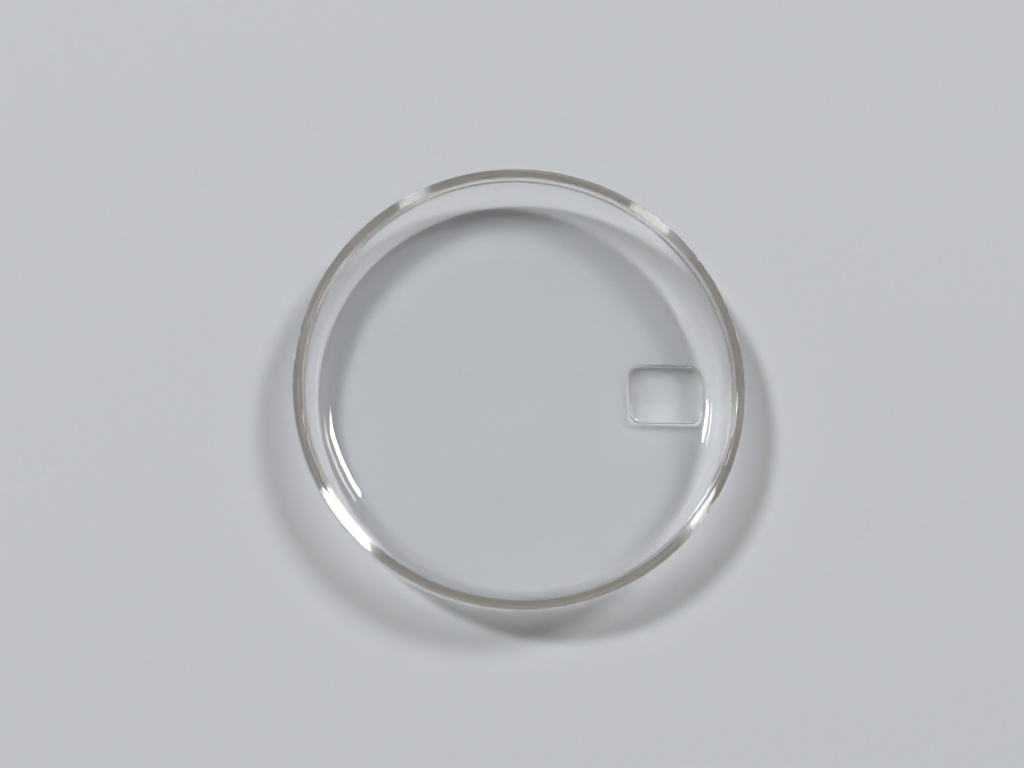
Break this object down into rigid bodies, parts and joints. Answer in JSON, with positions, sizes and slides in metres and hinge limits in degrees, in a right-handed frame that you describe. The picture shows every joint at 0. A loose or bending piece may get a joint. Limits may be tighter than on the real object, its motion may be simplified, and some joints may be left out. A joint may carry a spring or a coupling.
{
  "type": "watch crystal",
  "caption": "Round clear watch crystal with a flat face, curved shoulder and rounded seating edge, and a small rectangular date magnifier cemented outside its face",
  "frame": {"origin": "on the crystal's axis, level with the crown of the date magnifier, the lowest point of the part as it lies face down", "axes": "+Z is the crystal's axis, from its face to its open seating edge; +X points at the date magnifier, the 3 o'clock side; +Y completes the frame"},
  "size_m": [0.03, 0.03, 0.0047],
  "materials": {
    "crystal_shell": "polished clear, no tint",
    "date_magnifier": "polished clear, no tint",
    "lens_cement": "clear cured optical cement"
  },
  "bodies": {
    "root": {"crystal_shell": "crystal_shell", "date_magnifier": "date_magnifier", "lens_cement": "lens_cement"}
  },
  "joints": []
}
